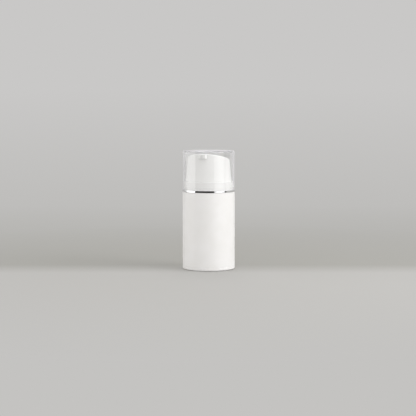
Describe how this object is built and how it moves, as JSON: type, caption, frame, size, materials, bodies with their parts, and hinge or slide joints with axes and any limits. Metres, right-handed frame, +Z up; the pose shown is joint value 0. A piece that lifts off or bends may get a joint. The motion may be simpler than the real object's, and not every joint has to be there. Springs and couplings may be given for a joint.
{
  "type": "airless pump bottle",
  "caption": "White cylindrical airless cosmetic bottle with a press-down pump head, bright trim ring and clear lift-off overcap.",
  "frame": {"origin": "centre of the base, on the plane of the foot ring", "axes": "+Z up along the bottle's axis, -Y the way the spout points at rest, +X to the right seen from the spout"},
  "size_m": [0.0416, 0.0416, 0.0929],
  "materials": {
    "white_polypropylene_satin": "moulded satin",
    "white_polypropylene_gloss": "moulded gloss",
    "clear_san": "clear polished mould",
    "polished_aluminium": "polished bright",
    "natural_polypropylene": "natural, moulded",
    "natural_polyethylene": "natural, waxy, moulded",
    "stainless_steel": "bright drawn"
  },
  "bodies": {
    "bottle": {"bottle_body": "white_polypropylene_satin", "base_plug": "white_polypropylene_satin", "trim_ring": "polished_aluminium", "shoulder_collar": "white_polypropylene_gloss", "pump_closure": "natural_polypropylene", "neck_gasket": "natural_polyethylene", "pump_housing": "natural_polypropylene", "housing_cap": "natural_polypropylene", "inlet_cage": "natural_polypropylene", "return_spring": "stainless_steel"},
    "overcap": {"overcap": "clear_san"},
    "stem": {"pump_stem": "natural_polypropylene", "stem_core": "natural_polypropylene"},
    "actuator": {"actuator_shell": "white_polypropylene_gloss", "actuator_core": "natural_polypropylene", "nozzle_insert": "white_polypropylene_gloss"},
    "pump_piston": {"pump_piston": "natural_polyethylene"},
    "inlet_ball": {"inlet_ball": "stainless_steel"},
    "follower": {"follower_piston": "natural_polyethylene"}
  },
  "joints": [
    {"name": "overcap_lift", "type": "slide", "parent": "bottle", "child": "overcap", "axis": [0, 0, 1], "range_m": [0, 0.04]},
    {"name": "pump_stroke", "type": "slide", "parent": "bottle", "child": "stem", "axis": [0, 0, -1], "range_m": [0, 0.0045], "stiffness_N_per_m": 1500, "springref_m": -0.004, "deforming": ["return_spring"]},
    {"name": "head_swivel", "type": "hinge", "parent": "stem", "child": "actuator", "pos_m": [0, 0, 0.08], "axis": [0, 0, 1], "continuous": true},
    {"name": "piston_lag", "type": "slide", "parent": "stem", "child": "pump_piston", "axis": [0, 0, 1], "range_m": [0, 0.0008]},
    {"name": "inlet_ball_lift", "type": "slide", "parent": "bottle", "child": "inlet_ball", "axis": [0, 0, 1], "range_m": [0, 0.0008]},
    {"name": "follower_rise", "type": "slide", "parent": "bottle", "child": "follower", "axis": [0, 0, 1], "range_m": [0, 0.0431]}
  ]
}
